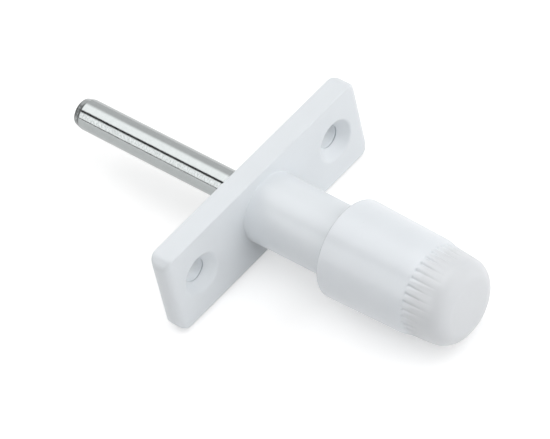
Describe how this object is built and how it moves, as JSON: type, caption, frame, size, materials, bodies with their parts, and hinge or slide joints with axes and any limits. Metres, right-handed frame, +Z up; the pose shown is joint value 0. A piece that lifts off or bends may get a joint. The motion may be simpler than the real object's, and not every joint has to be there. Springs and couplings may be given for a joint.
{
  "type": "window latch",
  "caption": "Sprung pull bolt for a window: a round pin slides through a screw-on plate with a barrel, drawn back by a hollow ribbed knob that telescopes over the barrel.",
  "frame": {"origin": "centre of the plate's back face, on the pin's axis", "axes": "+Y along the pin to its tip, into the window; X along the plate; +Z up. The latch is fixed by its plate, so it hangs on that mount and not on a floor."},
  "size_m": [0.0546, 0.0944, 0.0196],
  "materials": {
    "casting_white": "satin white paint on a zinc casting",
    "knob_white": "satin moulded white",
    "plated_steel": "bright zinc plated, turned",
    "spring_steel": "drawn wire",
    "brass": "turned"
  },
  "bodies": {
    "base": {"mount_plate": "casting_white", "return_spring": "spring_steel"},
    "carrier": {"guide_collar": "brass"},
    "plunger": {"pin": "plated_steel", "retaining_ring": "spring_steel", "knob": "knob_white", "knob_insert": "brass"}
  },
  "joints": [
    {"name": "pull", "type": "slide", "parent": "base", "child": "carrier", "axis": [0, -1, 0], "range_m": [0, 0.014], "stiffness_N_per_m": 620, "springref_m": -0.009, "deforming": ["return_spring"]},
    {"name": "turn", "type": "hinge", "parent": "carrier", "child": "plunger", "pos_m": [0, 0, 0], "axis": [0, 1, 0], "continuous": true}
  ]
}
